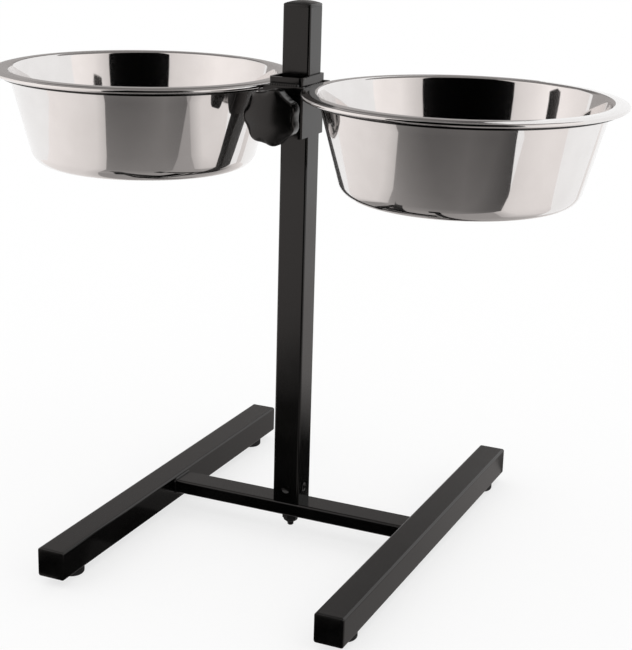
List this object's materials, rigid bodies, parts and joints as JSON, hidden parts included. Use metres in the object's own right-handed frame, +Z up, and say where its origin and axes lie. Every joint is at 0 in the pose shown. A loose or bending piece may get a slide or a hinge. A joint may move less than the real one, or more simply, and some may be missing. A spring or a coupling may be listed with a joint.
{
  "type": "dog feeder stand",
  "caption": "Height-adjustable double dog feeder: H-shaped black tube base and post, knob-clamped sliding sleeve with bar rings, and lift-out stainless steel bowls.",
  "frame": {"origin": "on the floor under the middle of the post, at the centre of the base", "axes": "+Z up, +X along the cross bar from the left bowl to the right bowl, -Y to the front, where the clamp knob is"},
  "size_m": [0.552, 0.4, 0.471],
  "materials": {
    "black_paint": "glossy black powder coat",
    "black_plastic": "satin moulded black plastic",
    "black_rubber": "matt black rubber",
    "black_steel": "black oxide",
    "zinc_steel": "zinc plated",
    "polished_steel": "mirror polished stainless steel"
  },
  "bodies": {
    "base": {"left_foot": "black_paint", "right_foot": "black_paint", "cross_bar": "black_paint", "post": "black_paint", "post_cap": "black_plastic", "post_insert": "zinc_steel", "post_stud": "black_steel", "post_washer": "black_steel", "post_nut": "black_steel", "left_front_plug": "black_plastic", "left_rear_plug": "black_plastic", "right_front_plug": "black_plastic", "right_rear_plug": "black_plastic", "left_front_pad": "black_rubber", "left_rear_pad": "black_rubber", "right_front_pad": "black_rubber", "right_rear_pad": "black_rubber", "pad_screws": "zinc_steel"},
    "carriage": {"sleeve": "black_paint", "sleeve_nut": "zinc_steel", "left_ring": "black_paint", "right_ring": "black_paint"},
    "clamp_disc": {"clamp_disc": "zinc_steel"},
    "knob": {"clamp_screw": "zinc_steel", "clamp_knob": "black_plastic"},
    "left_bowl": {"left_bowl": "polished_steel"},
    "right_bowl": {"right_bowl": "polished_steel"}
  },
  "joints": [
    {"name": "height_slide", "type": "slide", "parent": "base", "child": "carriage", "axis": [0, 0, 1], "range_m": [-0.285, 0.05]},
    {"name": "clamp_press", "type": "slide", "parent": "carriage", "child": "clamp_disc", "axis": [0, -1, 0], "range_m": [0, 0.00251]},
    {"name": "knob_turn", "type": "hinge", "parent": "clamp_disc", "child": "knob", "pos_m": [0, -0.044, 0.382], "axis": [0, -1, 0], "range_deg": [0, 720]},
    {"name": "left_bowl_lift", "type": "slide", "parent": "carriage", "child": "left_bowl", "axis": [0, 0, 1], "range_m": [0, 0.11]},
    {"name": "right_bowl_lift", "type": "slide", "parent": "carriage", "child": "right_bowl", "axis": [0, 0, 1], "range_m": [0, 0.11]}
  ],
  "couplings": [
    {"joint": "clamp_press", "follows": "knob_turn", "m_per_rad": 0.00019894}
  ]
}
